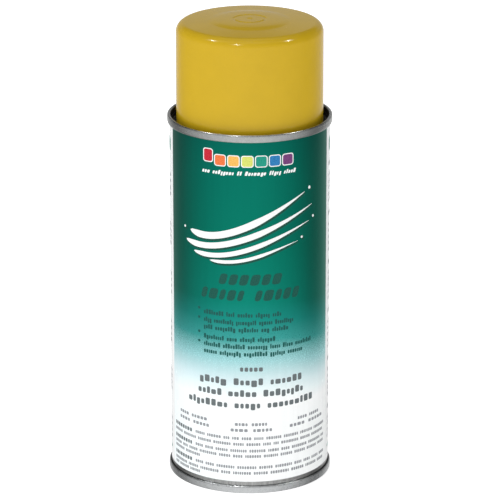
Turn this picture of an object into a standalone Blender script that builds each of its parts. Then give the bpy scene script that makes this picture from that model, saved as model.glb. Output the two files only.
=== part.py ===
"""Aerosol spray-paint can: three-piece welded tinplate can, 1-inch valve, spray button and lift-off overcap.

The can stands on its bottom seam. The origin is the centre of the standing ring, +Z points up
along the can's axis and the spray nozzle faces -Y. Lengths below are in millimetres and become
metres when a mesh is made. Turned pieces are outlines of (radius, height) points.
"""

import math

import bmesh
import bpy
from mathutils import Matrix, Vector

MM = 0.001

# Driving dimensions
CAN_HEIGHT = 155.0          # standing ring to the top of the top seam
BODY_RADIUS = 33.05         # outside of the welded cylinder
BODY_SHEET = 0.18
END_SHEET = 0.24
SEAM_GAP = 0.10             # between neighbouring layers of a double seam
SEAM_HEIGHT = 3.28
SEAM_CORNER = 0.3
COMPOUND = 0.28             # sealing compound over the body hook
FIT_GAP = 0.05              # between pieces pressed together in the real can
CAP_HEIGHT = 44.0           # overcap, from its lower edge to its plateau
CAP_RADIUS = 30.2
CAP_WALL = 1.2
BALL_RADIUS = 6.0

# Round pieces: the large ones share one facet count, so that their facets lie parallel
LARGE = 36
SMALL = 24
TINY = 16

# Top end: countersink, dome and the 1-inch curl
CHUCK_RADIUS = BODY_RADIUS - BODY_SHEET - SEAM_GAP - END_SHEET / 2
COUNTERSINK = CAN_HEIGHT - 4.6
DOME_FOOT = (28.2, CAN_HEIGHT - 3.6)
DOME_NECK = (14.2, CAN_HEIGHT + 5.9)
DOME_ARC = 58.0             # degrees turned from foot to neck
CURL_CENTRE = (14.13, CAN_HEIGHT + 7.5)
CURL_RADIUS = 1.3
CURL_STEP = 46.0            # degrees between the points of the curl and of what is curled over it

# Bottom end: a dome pressed into the can
BASE_WALL_TOP = 4.4
BASE_DOME_EDGE = (31.2, 5.25)
BASE_DOME_RISE = 9.25

# Valve, measured up from the top seam
CUP_SHEET = 0.30
CUP_GASKET = 0.40
CUP_WALL_RADIUS = 12.4
CUP_FLOOR = CAN_HEIGHT + 0.9
PEDESTAL_RADIUS = 5.25
PEDESTAL_CORNER = 0.5
PEDESTAL_TOP = CAN_HEIGHT + 10.4
STEM_RADIUS = 2.0
STEM_TOP = CAN_HEIGHT + 16.5
SHOULDER_TOP = CAN_HEIGHT + 9.0
SHOULDER_BOTTOM = CAN_HEIGHT + 7.0
HOUSING_TOP = CAN_HEIGHT + 9.1
HOUSING_FLOOR = CAN_HEIGHT + 1.2
TAIL_RADIUS = 1.5
TAIL_BOTTOM = CAN_HEIGHT - 9.0
SPRING_RADIUS = 2.65
SPRING_WIRE = 0.6
SPRING_TURNS = 5
TUBE_RADIUS = 2.2
TUBE_WALL = 0.5

# Spray button
BUTTON_BOTTOM = CAN_HEIGHT + 12.8
BUTTON_TOP = CAN_HEIGHT + 24.6
BUTTON_RADIUS = 6.8
SPRAY_HEIGHT = CAN_HEIGHT + 20.2
INSERT_RADIUS = 1.93

PARTS = "aerosol_spray_can"
CUTTERS = "cutters"


def clear_scene():
    for obj in list(bpy.data.objects):
        bpy.data.objects.remove(obj)
    for name in (PARTS, CUTTERS):
        bpy.context.scene.collection.children.link(bpy.data.collections.new(name))


def srgb(red, green, blue):
    """Linear colour from display values of 11 to 255."""
    return (*(((value / 255 + 0.055) / 1.055) ** 2.4 for value in (red, green, blue)), 1.0)


def material(name, colour, roughness, metallic=0.0):
    made = bpy.data.materials.new(name)
    made.use_nodes = True
    shader = made.node_tree.nodes["Principled BSDF"]
    shader.inputs["Base Color"].default_value = colour
    shader.inputs["Roughness"].default_value = roughness
    shader.inputs["Metallic"].default_value = metallic
    made.diffuse_color = colour
    return made


# Outlines ------------------------------------------------------------------------------------

def arc(centre, radius, start, end, steps):
    """Points on an arc in the (radius, height) plane, both ends included; angles in degrees."""
    points = []
    for i in range(steps + 1):
        angle = math.radians(start + (end - start) * i / steps)
        points.append((centre[0] + radius * math.cos(angle), centre[1] + radius * math.sin(angle)))
    return points


def arc_between(start, end, turn, steps):
    """Points on an arc that bulges to the right of the way from start to end, turning by turn degrees."""
    a, b = Vector(start), Vector(end)
    chord = b - a
    half = math.radians(turn) / 2
    radius = chord.length / 2 / math.sin(half)
    right = Vector((chord.y, -chord.x)).normalized()
    centre = (a + b) / 2 - right * radius * math.cos(half)
    first = math.degrees(math.atan2(a.y - centre.y, a.x - centre.x))
    return arc(centre, radius, first, first + turn, steps)


def mirrored(path, height):
    """The path turned upside down about half the given height."""
    return [(r, height - z) for r, z in path]


def sheet_outline(path, thickness):
    """Outline of sheet metal whose middle surface follows path, ending on the axis or clear of it."""
    near, far = [], []
    for i, point in enumerate(path):
        here = Vector(point)
        ways = []
        if i > 0:
            ways.append((here - Vector(path[i - 1])).normalized())
        if i < len(path) - 1:
            ways.append((Vector(path[i + 1]) - here).normalized())
        along = sum(ways, Vector((0, 0))).normalized()
        normal = Vector((0, math.copysign(1, along.x))) if here.x == 0 else Vector((-along.y, along.x))
        reach = thickness / 2 / max(along.dot(ways[0]), 0.5)
        near.append(tuple(here + normal * reach))
        far.append(tuple(here - normal * reach))
    return far[::-1] + near


def signed_area(outline):
    pairs = zip(outline, outline[1:] + outline[:1])
    return sum(a[0] * b[1] - b[0] * a[1] for a, b in pairs) / 2


# Objects -------------------------------------------------------------------------------------

def put_in(obj, collection):
    """Links an object to one of the two collections; a cutter isn't rendered and shows as wire."""
    bpy.data.collections[collection].objects.link(obj)
    if collection == CUTTERS:
        obj.hide_render = True
        obj.display_type = "WIRE"
    return obj


def add_object(name, data, collection=PARTS):
    return put_in(bpy.data.objects.new(name, data), collection)


def take_primitive(name, collection=PARTS):
    """Names the primitive that was just added and moves it to one of the two collections."""
    obj = bpy.context.object
    obj.name = name
    bpy.context.collection.objects.unlink(obj)
    return put_in(obj, collection)


def turned(name, outline, segments, collection=PARTS):
    """A piece turned about its Z axis. An outline that starts and ends on the axis stays open there."""
    if signed_area(outline) > 0:
        outline = outline[::-1]
    on_axis = outline[0][0] == 0 and outline[-1][0] == 0
    edges = [(i, i + 1) for i in range(len(outline) - 1)]
    if not on_axis:
        edges.append((len(outline) - 1, 0))
    mesh = bpy.data.meshes.new(name)
    mesh.from_pydata([(r * MM, 0, z * MM) for r, z in outline], edges, [])
    obj = add_object(name, mesh, collection)
    spin = obj.modifiers.new("turn", "SCREW")
    spin.angle = math.tau
    spin.steps = spin.render_steps = segments
    spin.use_merge_vertices = True
    spin.merge_threshold = 1e-6
    spin.use_smooth_shade = False
    return obj


def boolean(obj, other, operation):
    step = obj.modifiers.new(other.name, "BOOLEAN")
    step.operation = operation
    step.solver = "EXACT"
    step.object = other


def curve_object(name, spline_type, wire_radius, sides_resolution, capped):
    curve = bpy.data.curves.new(name, "CURVE")
    curve.dimensions = "3D"
    curve.bevel_depth = wire_radius * MM
    curve.bevel_resolution = sides_resolution
    curve.use_fill_caps = capped
    curve.render_resolution_u = 0
    curve.splines.new(spline_type)
    return add_object(name, curve)


def evaluated_mesh(obj):
    bpy.context.view_layer.update()
    graph = bpy.context.evaluated_depsgraph_get()
    return bpy.data.meshes.new_from_object(obj.evaluated_get(graph))


def mesh_from_curve(obj, collection=PARTS):
    """Replaces a curve object by a mesh object of the same name and place, with its caps welded on."""
    name, place = obj.name, obj.matrix_world.copy()
    mesh = evaluated_mesh(obj)
    bpy.data.objects.remove(obj)
    work = bmesh.new()
    work.from_mesh(mesh)
    bmesh.ops.remove_doubles(work, verts=work.verts, dist=1e-6)
    work.to_mesh(mesh)
    work.free()
    made = add_object(name, mesh, collection)
    made.matrix_world = place
    return made


def finish(obj, made_of, sharp=35.0):
    """Applies the piece's modifiers, shades it smooth between sharp edges and gives it its material."""
    mesh = evaluated_mesh(obj)
    obj.modifiers.clear()
    obj.data = mesh
    mesh.name = obj.name
    mesh.materials.clear()
    mesh.materials.append(made_of)
    mesh.shade_smooth()
    mesh.set_sharp_from_angle(angle=math.radians(sharp))
    return obj


def move_origin(obj, height):
    """Puts the piece's origin on the can's axis at the given height, leaving the shape in place."""
    obj.data.transform(Matrix.Translation((0, 0, -height * MM)))
    obj.location.z += height * MM


# The can: body, ends and their double seams --------------------------------------------------

BODY_MIDDLE = BODY_RADIUS - BODY_SHEET / 2
END_HOOK = BODY_RADIUS + SEAM_GAP + END_SHEET / 2
BODY_HOOK = END_HOOK + END_SHEET / 2 + SEAM_GAP + BODY_SHEET / 2
SEAM_WALL = BODY_HOOK + BODY_SHEET / 2 + SEAM_GAP + END_SHEET / 2
BODY_TURN = (BODY_HOOK - BODY_MIDDLE) / 2
END_TURN = (SEAM_WALL - END_HOOK) / 2
BODY_HOOK_TOP = CAN_HEIGHT - END_SHEET - COMPOUND - 2 * FIT_GAP - BODY_SHEET / 2


def body_hook():
    """From the hook's free edge over the flange to the body wall, at the top seam."""
    turn_height = BODY_HOOK_TOP - BODY_TURN
    bend = arc((BODY_MIDDLE + BODY_TURN, turn_height), BODY_TURN, 0, 180, 3)
    return [(BODY_HOOK, CAN_HEIGHT - 2.5)] + bend


def seam_panel():
    """From the end hook's free edge round the seaming wall and over the seam to the chuck wall's top."""
    bend_height = CAN_HEIGHT - SEAM_HEIGHT + END_SHEET / 2 + END_TURN
    bend = arc((END_HOOK + END_TURN, bend_height), END_TURN, 180, 360, 2)
    top = CAN_HEIGHT - END_SHEET / 2
    corner = SEAM_CORNER
    return [(END_HOOK, CAN_HEIGHT - 1.25)] + bend + [
        (SEAM_WALL, top - corner),
        (SEAM_WALL - corner, top),
        (CHUCK_RADIUS + corner, top),
        (CHUCK_RADIUS, top - corner),
    ]


def can_body():
    hook = body_hook()
    lower_hook = mirrored(hook[::-1], CAN_HEIGHT)
    piece = turned("can_body", sheet_outline(hook + lower_hook, BODY_SHEET), LARGE)
    return finish(piece, material("lithographed_tinplate", srgb(246, 248, 248), 0.3, 0.1))


def dome_path():
    """The top end's middle surface from the chuck wall through the dome to the curl."""
    chuck_bend = 0.9
    foot_bend = DOME_FOOT[1] - COUNTERSINK
    countersink = [
        (CHUCK_RADIUS, COUNTERSINK + chuck_bend),
        *arc((CHUCK_RADIUS - chuck_bend, COUNTERSINK + chuck_bend), chuck_bend, -45, -90, 1),
        *arc((DOME_FOOT[0] + foot_bend, DOME_FOOT[1]), foot_bend, -90, -180, 2)[:-1],
    ]
    dome = arc_between(DOME_FOOT, DOME_NECK, DOME_ARC, 4)
    neck_radius = CURL_CENTRE[0] - CURL_RADIUS
    neck = [(neck_radius + 0.35, DOME_NECK[1] + 0.3), (neck_radius, DOME_NECK[1] + 0.8)]
    curl = arc(CURL_CENTRE, CURL_RADIUS, 180, 180 - 5 * CURL_STEP, 5)
    return countersink + dome + neck + curl


def top_dome():
    piece = turned("top_dome", sheet_outline(seam_panel() + dome_path(), END_SHEET), LARGE)
    return finish(piece, material("bare_tinplate", srgb(190, 192, 190), 0.3, 1.0))


def bottom_dome():
    edge_radius, edge_height = BASE_DOME_EDGE
    half_turn = 2 * math.degrees(math.atan(BASE_DOME_RISE / edge_radius))
    centre_height = edge_height + BASE_DOME_RISE - edge_radius / math.sin(math.radians(half_turn))
    radius = edge_height + BASE_DOME_RISE - centre_height
    dome = arc((0, centre_height), radius, 90 - half_turn, 90, 5)
    dome[-1] = (0, edge_height + BASE_DOME_RISE)
    wall = [(CHUCK_RADIUS, BASE_WALL_TOP), (CHUCK_RADIUS - 0.4, BASE_WALL_TOP + 0.65)]
    path = mirrored(seam_panel(), CAN_HEIGHT) + wall + dome
    piece = turned("bottom_dome", sheet_outline(path, END_SHEET), LARGE)
    return finish(piece, material("bottom_tinplate", srgb(196, 198, 196), 0.32, 1.0))


def seam_compounds():
    """The rubbery rings under the seaming panels, one in each double seam."""
    top = CAN_HEIGHT - END_SHEET - FIT_GAP
    inner, outer = CHUCK_RADIUS + SEAM_CORNER + 2 * FIT_GAP, SEAM_WALL - SEAM_CORNER - 2 * FIT_GAP
    section = [(inner, top), (outer, top), (outer, top - COMPOUND), (inner, top - COMPOUND)]
    rubber = material("seaming_compound", srgb(96, 92, 84), 0.85)
    finish(turned("top_seam_compound", section, LARGE), rubber)
    finish(turned("bottom_seam_compound", mirrored(section, CAN_HEIGHT), LARGE), rubber)


# The valve -----------------------------------------------------------------------------------

GASKET_MIDDLE = CURL_RADIUS + END_SHEET / 2 + 2 * FIT_GAP + CUP_GASKET / 2
CUP_CURL = GASKET_MIDDLE + CUP_GASKET / 2 + 2 * FIT_GAP + CUP_SHEET / 2
CUP_RIM_RADIUS = CURL_CENTRE[0] + CUP_CURL + CUP_SHEET / 2


def cup_gasket():
    saddle = arc(CURL_CENTRE, GASKET_MIDDLE, 180 - CURL_STEP, 180 - 3 * CURL_STEP, 2)
    piece = turned("cup_gasket", sheet_outline(saddle, CUP_GASKET), LARGE)
    return finish(piece, material("gasket_rubber", srgb(58, 56, 54), 0.8))


def mounting_cup():
    """The valve's metal cup: curled over the gasket, crimped under the dome's curl, with a pedestal."""
    rim = arc(CURL_CENTRE, CUP_CURL, 180 - 4 * CURL_STEP, 180 - CURL_STEP, 3)
    crimp = [
        (CUP_WALL_RADIUS, CURL_CENTRE[1] + 0.9),
        (CUP_WALL_RADIUS, CAN_HEIGHT + 6.0),
        (CUP_WALL_RADIUS + 0.85, CAN_HEIGHT + 4.6),
        (CUP_WALL_RADIUS - 0.1, CAN_HEIGHT + 2.6),
    ]
    floor = [
        (CUP_WALL_RADIUS - 1.3, CUP_FLOOR),
        (PEDESTAL_RADIUS + 1.4, CUP_FLOOR),
        (PEDESTAL_RADIUS, CUP_FLOOR + 1.4),
    ]
    pedestal = [
        (PEDESTAL_RADIUS, PEDESTAL_TOP - PEDESTAL_CORNER),
        (PEDESTAL_RADIUS - PEDESTAL_CORNER, PEDESTAL_TOP),
        (STEM_RADIUS + 0.35, PEDESTAL_TOP),
    ]
    piece = turned("mounting_cup", sheet_outline(rim + crimp + floor + pedestal, CUP_SHEET), LARGE)
    return finish(piece, material("cup_tinplate", srgb(205, 200, 180), 0.28, 1.0))


def stem_gasket():
    top = PEDESTAL_TOP - CUP_SHEET / 2 - FIT_GAP
    bottom = HOUSING_TOP + FIT_GAP
    inner, outer = STEM_RADIUS + 0.15, PEDESTAL_RADIUS - PEDESTAL_CORNER - CUP_SHEET / 2
    piece = turned("stem_gasket", [(inner, top), (outer, top), (outer, bottom), (inner, bottom)], SMALL)
    return finish(piece, material("stem_rubber", srgb(40, 40, 42), 0.75))


def valve_housing():
    flange = PEDESTAL_RADIUS - CUP_SHEET
    barrel, bore, tail_bore = 4.3, 3.6, 0.8
    outline = [
        (bore, HOUSING_TOP),
        (flange, HOUSING_TOP),
        (flange, HOUSING_TOP - 3.6),
        (barrel, HOUSING_TOP - 4.2),
        (barrel, HOUSING_FLOOR - 1.0),
        (TAIL_RADIUS, HOUSING_FLOOR - 2.6),
        (TAIL_RADIUS, TAIL_BOTTOM + 0.5),
        (TAIL_RADIUS - 0.25, TAIL_BOTTOM),
        (tail_bore, TAIL_BOTTOM),
        (tail_bore, HOUSING_FLOOR),
        (bore, HOUSING_FLOOR),
    ]
    piece = turned("valve_housing", outline, SMALL)
    return finish(piece, material("housing_plastic", srgb(226, 224, 214), 0.45))


def valve_stem():
    """Hollow stem with a shoulder under the gasket, a spigot for the spring and one side orifice."""
    bore, shoulder, spigot = 0.9, 3.2, 1.7
    orifice_height = SHOULDER_TOP + 0.75
    outline = [
        (0, orifice_height - 0.5),
        (bore, orifice_height - 0.5),
        (bore, STEM_TOP),
        (STEM_RADIUS - 0.2, STEM_TOP),
        (STEM_RADIUS, STEM_TOP - 0.3),
        (STEM_RADIUS, SHOULDER_TOP),
        (shoulder, SHOULDER_TOP),
        (shoulder, SHOULDER_BOTTOM),
        (spigot, SHOULDER_BOTTOM),
        (spigot - 0.4, SHOULDER_BOTTOM - 2.0),
        (0, SHOULDER_BOTTOM - 2.0),
    ]
    piece = turned("valve_stem", outline, SMALL)
    bpy.ops.mesh.primitive_cylinder_add(vertices=12, radius=0.35 * MM, depth=2 * STEM_RADIUS * MM)
    drill = take_primitive("stem_orifice_drill", CUTTERS)
    drill.rotation_euler = (math.pi / 2, 0, 0)
    drill.location = (0, -STEM_RADIUS * MM, orifice_height * MM)
    boolean(piece, drill, "DIFFERENCE")
    finish(piece, material("stem_plastic", srgb(238, 236, 228), 0.4))
    move_origin(piece, SHOULDER_TOP)
    return piece


def valve_spring():
    """Compression spring between the housing's floor and the stem's shoulder."""
    steps_per_turn = 12
    low = HOUSING_FLOOR + FIT_GAP + SPRING_WIRE / 2
    high = SHOULDER_BOTTOM - FIT_GAP - SPRING_WIRE / 2
    count = SPRING_TURNS * steps_per_turn + 1
    coil = curve_object("valve_spring", "POLY", SPRING_WIRE / 2, 2, True)
    spline = coil.data.splines[0]
    spline.points.add(count - 1)
    for i, point in enumerate(spline.points):
        angle = math.tau * i / steps_per_turn
        height = low + (high - low) * i / (count - 1)
        place = Vector((SPRING_RADIUS * math.cos(angle), SPRING_RADIUS * math.sin(angle), height)) * MM
        point.co = (*place, 1)
    return finish(mesh_from_curve(coil), material("spring_steel", srgb(200, 200, 198), 0.25, 1.0), 60.0)


def dip_tube():
    """Tube pushed over the housing's tail, leaning towards +Y so that it ends at the foot of the wall."""
    top, straight_to = CAN_HEIGHT - 2.0, CAN_HEIGHT - 18.0
    foot = (27.4, 9.6)
    stations = [
        ((0, top), (0, top + 5), (0, top - 5)),
        ((0, straight_to), (0, straight_to + 5), (0, straight_to - 40)),
        (foot, (foot[0] - 6, foot[1] + 40), (foot[0] + 6, foot[1] - 40)),
    ]
    tube = curve_object("dip_tube", "BEZIER", TUBE_RADIUS, 4, False)
    tube.data.resolution_u = 6
    spline = tube.data.splines[0]
    spline.bezier_points.add(len(stations) - 1)
    for point, (place, before, after) in zip(spline.bezier_points, stations):
        point.co = Vector((0, *place)) * MM
        point.handle_left = Vector((0, *before)) * MM
        point.handle_right = Vector((0, *after)) * MM
    tube = mesh_from_curve(tube)
    wall = tube.modifiers.new("wall", "SOLIDIFY")
    wall.thickness = TUBE_WALL * MM
    wall.offset = -1.0
    wall.use_even_offset = True
    return finish(tube, material("tube_polyethylene", srgb(232, 234, 232), 0.35))


# The spray button ----------------------------------------------------------------------------

def button_outline():
    """Dished top, domed edge, skirt, and under it a hub with a socket for the stem."""
    hub, skirt_inside = 3.3, 5.6
    socket, channel = STEM_RADIUS + 0.08, 0.9
    recess_top = BUTTON_BOTTOM + 4.0
    socket_top = STEM_TOP + 0.1
    dish = [(0, BUTTON_TOP - 1.1), (2.6, BUTTON_TOP - 0.8), (4.6, BUTTON_TOP - 0.1)]
    edge = arc((5.2, BUTTON_TOP - 0.9), 0.9, 90, 15, 2)
    skirt = [
        (BUTTON_RADIUS - 0.3, BUTTON_BOTTOM + 4.5),
        (BUTTON_RADIUS, BUTTON_BOTTOM + 3.5),
        (BUTTON_RADIUS, BUTTON_BOTTOM),
        (skirt_inside, BUTTON_BOTTOM),
        (skirt_inside, recess_top),
        (hub, recess_top),
    ]
    inside = [
        (hub, BUTTON_BOTTOM + 0.6),
        (socket, BUTTON_BOTTOM + 0.6),
        (socket, socket_top),
        (channel, socket_top),
        (channel, SPRAY_HEIGHT + 0.6),
        (0, SPRAY_HEIGHT + 0.6),
    ]
    return dish + edge + skirt + inside


def facing_front(obj):
    """Lays a piece turned about Z on its side at the spray height, its upper end towards -Y."""
    obj.rotation_euler = (math.pi / 2, 0, 0)
    obj.location = (0, 0, SPRAY_HEIGHT * MM)


def spray_button():
    piece = turned("spray_button", button_outline(), SMALL)
    duct, pocket, recess = 0.5, INSERT_RADIUS + 0.07, 3.1
    outline = [
        (0, 0.2), (duct, 0.2), (duct, 3.4), (pocket, 3.4), (pocket, 5.6), (recess, 5.6),
        (recess, BUTTON_RADIUS + 1), (0, BUTTON_RADIUS + 1),
    ]
    bore = turned("button_front_bore", outline, TINY, CUTTERS)
    facing_front(bore)
    boolean(piece, bore, "DIFFERENCE")
    finish(piece, material("button_plastic", srgb(240, 240, 236), 0.4))
    move_origin(piece, BUTTON_BOTTOM)
    return piece


def nozzle_insert():
    """The small pressed-in cup whose hole shapes the spray."""
    back, front, orifice = 3.5, 5.8, 0.3
    outline = [
        (INSERT_RADIUS, back), (INSERT_RADIUS, front - 0.2), (INSERT_RADIUS - 0.2, front), (0.95, front),
        (orifice, front - 0.5), (orifice, back + 0.6), (1.0, back + 0.6), (1.0, back),
    ]
    piece = turned("nozzle_insert", outline, TINY)
    facing_front(piece)
    return finish(piece, material("insert_plastic", srgb(232, 228, 210), 0.35))


# The overcap ---------------------------------------------------------------------------------

CAP_BOTTOM = COUNTERSINK + END_SHEET / 2 + 0.3
CAP_TOP = CAP_BOTTOM + CAP_HEIGHT
RING_INNER = CUP_RIM_RADIUS + 0.3
RING_OUTER = RING_INNER + 1.0
PLATEAU_RADIUS = 17.0
PLATEAU_RISE = 0.9
SHOULDER_BEND = 3.9


def overcap_outline():
    """Outer shell with a raised plateau, and the inner snap ring hanging from its roof."""
    brim = CAP_TOP - PLATEAU_RISE
    roof = brim - 1.4
    ring_bottom = CAN_HEIGHT + 6.1
    top = [
        (0, CAP_TOP),
        (PLATEAU_RADIUS - 1.2, CAP_TOP),
        (PLATEAU_RADIUS, brim),
    ]
    shoulder = arc((CAP_RADIUS - SHOULDER_BEND, brim - SHOULDER_BEND), SHOULDER_BEND, 90, 0, 3)
    skirt = [
        (CAP_RADIUS + 0.1, CAP_BOTTOM),
        (CAP_RADIUS + 0.1 - CAP_WALL, CAP_BOTTOM),
        (CAP_RADIUS - CAP_WALL, brim - SHOULDER_BEND),
        (CAP_RADIUS - SHOULDER_BEND, roof),
    ]
    ring = [
        (RING_OUTER, roof),
        (RING_OUTER, ring_bottom),
        (RING_INNER - 0.05, ring_bottom),
        (RING_INNER - 0.22, ring_bottom + 0.45),
        (RING_INNER, ring_bottom + 0.9),
        (RING_INNER, roof),
        (0, roof),
    ]
    return top + shoulder + skirt + ring


def overcap_rib(index, count):
    """One radial stiffener between the snap ring and the outer shell, sunk into both and into the roof."""
    inner, outer = RING_INNER + 0.5, CAP_RADIUS - 0.6
    brim = CAP_TOP - PLATEAU_RISE
    low, high = brim - 14.0, brim - 0.7
    plate = curve_object(f"overcap_rib_{index}", "POLY", 0, 0, False)
    plate.data.dimensions = "2D"
    plate.data.fill_mode = "BOTH"
    plate.data.extrude = 0.45 * MM
    shoulder = [(outer, brim - SHOULDER_BEND), (CAP_RADIUS - SHOULDER_BEND, high)]
    corners = [(inner, low), (outer, low), *shoulder, (inner, high)]
    spline = plate.data.splines[0]
    spline.points.add(len(corners) - 1)
    spline.use_cyclic_u = True
    for point, (reach, height) in zip(spline.points, corners):
        point.co = (reach * MM, height * MM, 0, 1)
    plate.rotation_euler = (math.pi / 2, 0, math.tau * (index + 0.5) / count)
    bpy.context.view_layer.update()
    return mesh_from_curve(plate, CUTTERS)


def overcap():
    piece = turned("overcap", overcap_outline(), LARGE)
    rib_count = 6
    for i in range(rib_count):
        boolean(piece, overcap_rib(i, rib_count), "UNION")
    finish(piece, material("yellow_polypropylene", srgb(205, 173, 52), 0.28))
    move_origin(piece, CAP_BOTTOM)
    return piece


# The mixing balls ----------------------------------------------------------------------------

def ball_seat():
    """Radius from the axis and height at which a ball rests between the wall and the bottom dome."""
    clearance = 0.15
    edge_radius, edge_height = BASE_DOME_EDGE
    dome_radius = (edge_radius ** 2 + BASE_DOME_RISE ** 2) / (2 * BASE_DOME_RISE)
    dome_centre = edge_height + BASE_DOME_RISE - dome_radius
    reach = BODY_RADIUS - BODY_SHEET - BALL_RADIUS - clearance
    apart = dome_radius + END_SHEET / 2 + BALL_RADIUS + clearance
    return reach, dome_centre + math.sqrt(apart ** 2 - reach ** 2)


def mixing_ball(name, bearing, made_of, roll_axis=False):
    """A ball at the given bearing; one that rolls round the bottom hangs from an empty on the can's axis."""
    reach, height = ball_seat()
    bpy.ops.mesh.primitive_uv_sphere_add(segments=16, ring_count=10, radius=BALL_RADIUS * MM)
    ball = take_primitive(name)
    if roll_axis:
        axis = add_object(name + "_axis", None)
        axis.location.z = height * MM
        axis.rotation_euler.z = math.radians(bearing)
        ball.parent = axis
        ball.location.x = reach * MM
    else:
        angle = math.radians(bearing)
        ball.location = Vector((reach * math.cos(angle), reach * math.sin(angle), height)) * MM
    ball.data.materials.append(made_of)
    ball.data.shade_smooth()
    return ball


def mixing_balls():
    glass = material("marble_glass", srgb(150, 178, 160), 0.1)
    mixing_ball("mixing_ball_a", 180, glass)
    mixing_ball("mixing_ball_b", 300, glass, roll_axis=True)


def build():
    clear_scene()
    can_body()
    top_dome()
    bottom_dome()
    seam_compounds()
    cup_gasket()
    mounting_cup()
    stem_gasket()
    valve_housing()
    valve_stem()
    valve_spring()
    dip_tube()
    spray_button()
    nozzle_insert()
    overcap()
    mixing_balls()
    bpy.context.view_layer.update()


build()
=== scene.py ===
"""Looks of an aerosol spray can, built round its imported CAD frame.

Every turned shell is turned again from the outline of its own CAD node, with its corners rounded and
many more steps round, so sizes and places come from the frame. The label is printed on the can's
wall as thin slabs of ink, and plain blocks and colour chips stand where a real label has its words.
Lengths below are in millimetres. A place on the wall is (arc, height): arc is measured along the wall
from the front (-Y), positive towards +X, and height is measured from the floor.
"""

import math
import random

import bmesh
import bpy
from mathutils import Matrix, Vector


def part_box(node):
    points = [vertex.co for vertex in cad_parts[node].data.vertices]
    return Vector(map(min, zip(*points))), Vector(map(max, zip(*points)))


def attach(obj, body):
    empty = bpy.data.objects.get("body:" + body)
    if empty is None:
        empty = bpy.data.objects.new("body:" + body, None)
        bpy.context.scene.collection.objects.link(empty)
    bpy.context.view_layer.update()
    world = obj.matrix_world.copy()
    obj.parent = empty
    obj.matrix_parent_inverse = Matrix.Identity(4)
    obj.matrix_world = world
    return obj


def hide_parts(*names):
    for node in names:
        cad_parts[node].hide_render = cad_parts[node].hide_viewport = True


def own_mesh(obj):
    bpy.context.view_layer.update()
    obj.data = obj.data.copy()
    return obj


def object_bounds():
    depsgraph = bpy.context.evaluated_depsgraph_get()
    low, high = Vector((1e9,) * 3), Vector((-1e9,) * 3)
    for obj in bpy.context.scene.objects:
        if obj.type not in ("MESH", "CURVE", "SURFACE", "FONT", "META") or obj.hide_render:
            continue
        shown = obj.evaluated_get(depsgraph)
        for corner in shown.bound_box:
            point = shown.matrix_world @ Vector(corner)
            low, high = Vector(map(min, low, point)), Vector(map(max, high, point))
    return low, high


MM = 0.001
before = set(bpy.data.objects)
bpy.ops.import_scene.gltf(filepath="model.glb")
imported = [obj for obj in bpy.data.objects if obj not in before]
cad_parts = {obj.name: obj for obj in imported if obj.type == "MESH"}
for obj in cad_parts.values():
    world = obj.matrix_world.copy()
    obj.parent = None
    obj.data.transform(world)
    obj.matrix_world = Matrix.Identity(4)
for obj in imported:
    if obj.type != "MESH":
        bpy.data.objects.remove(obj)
cad_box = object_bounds()

FINE = 224                  # steps round the large turned pieces
MEDIUM = 96                 # round the valve's housing and stem and the spray button
SMALL = 64                  # round the balls, the stem's seal and what is turned about the spray's axis
INK_RAISED = 0.035          # how far the top of the ink stands above the wall
INK_SUNK = 0.012            # how far its underside lies below the wall's surface
INK_STEP = 1.5              # longest stretch of ink without a bend round the wall


# Reading the frame ---------------------------------------------------------------------------

def box(node):
    low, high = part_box(node)
    return low / MM, high / MM


def outline_of(node):
    """A turned node's outline at +X as (radius, height) points, a chain between two points on the axis
    or a closed ring that doesn't repeat its first point."""
    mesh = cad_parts[node].data
    near = 2e-6                 # metres
    links = {}
    for edge in mesh.edges:
        ends = [mesh.vertices[i].co for i in edge.vertices]
        if all(abs(p.y) < near and p.x > -near for p in ends):
            a, b = ((round(max(p.x, 0) / MM, 4), round(p.z / MM, 4)) for p in ends)
            if a != b:
                links.setdefault(a, set()).add(b)
                links.setdefault(b, set()).add(a)
    loose = sorted((p for p in links if len(links[p]) == 1), key=lambda p: -p[1])
    chain = [loose[0] if loose else max(links)]
    while True:
        onward = sorted(p for p in links[chain[-1]] if p not in chain)
        if not onward:
            break
        chain.append(onward[0])
    if loose:
        if chain[0][0] > 0:
            chain.insert(0, (0.0, chain[0][1]))
        if chain[-1][0] > 0:
            chain.append((0.0, chain[-1][1]))
    return chain


def is_open(outline):
    return outline[0][0] == 0 and outline[-1][0] == 0


def rounded(outline, reach, steps=4):
    """The outline with each corner turned into a curve that starts at most reach away from it."""
    apart = 1e-4                # points nearer to each other than this become one
    closed = not is_open(outline)
    points = [Vector(p) for p in outline]
    count = len(points)
    made = []
    for i, here in enumerate(points):
        if not closed and i in (0, count - 1):
            made.append(tuple(here))
            continue
        before, after = points[i - 1], points[(i + 1) % count]
        back, onward = before - here, after - here
        first = here + back * min(0.5, reach / back.length)
        last = here + onward * min(0.5, reach / onward.length)
        for k in range(steps + 1):
            t = k / steps
            made.append(tuple(first * (1 - t) ** 2 + here * 2 * t * (1 - t) + last * t ** 2))
    tidy = [made[0]]
    for point in made[1:]:
        if math.dist(point, tidy[-1]) > apart:
            tidy.append(point)
    if closed and math.dist(tidy[0], tidy[-1]) < apart:
        tidy.pop()
    return tidy


def arc(centre, radius, start, end, steps):
    """Points on an arc in the (radius, height) plane, both ends included; angles in degrees."""
    points = []
    for i in range(steps + 1):
        angle = math.radians(start + (end - start) * i / steps)
        points.append((centre[0] + radius * math.cos(angle), centre[1] + radius * math.sin(angle)))
    return points


def smooth_step(x):
    """Eases from 0 at x = 0 to 1 at x = 1, flat beyond."""
    x = min(max(x, 0.0), 1.0)
    return x * x * (3 - 2 * x)


# Making pieces -------------------------------------------------------------------------------

def add_object(name, mesh):
    made = bpy.data.objects.new(name, mesh)
    bpy.context.scene.collection.objects.link(made)
    return made


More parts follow.
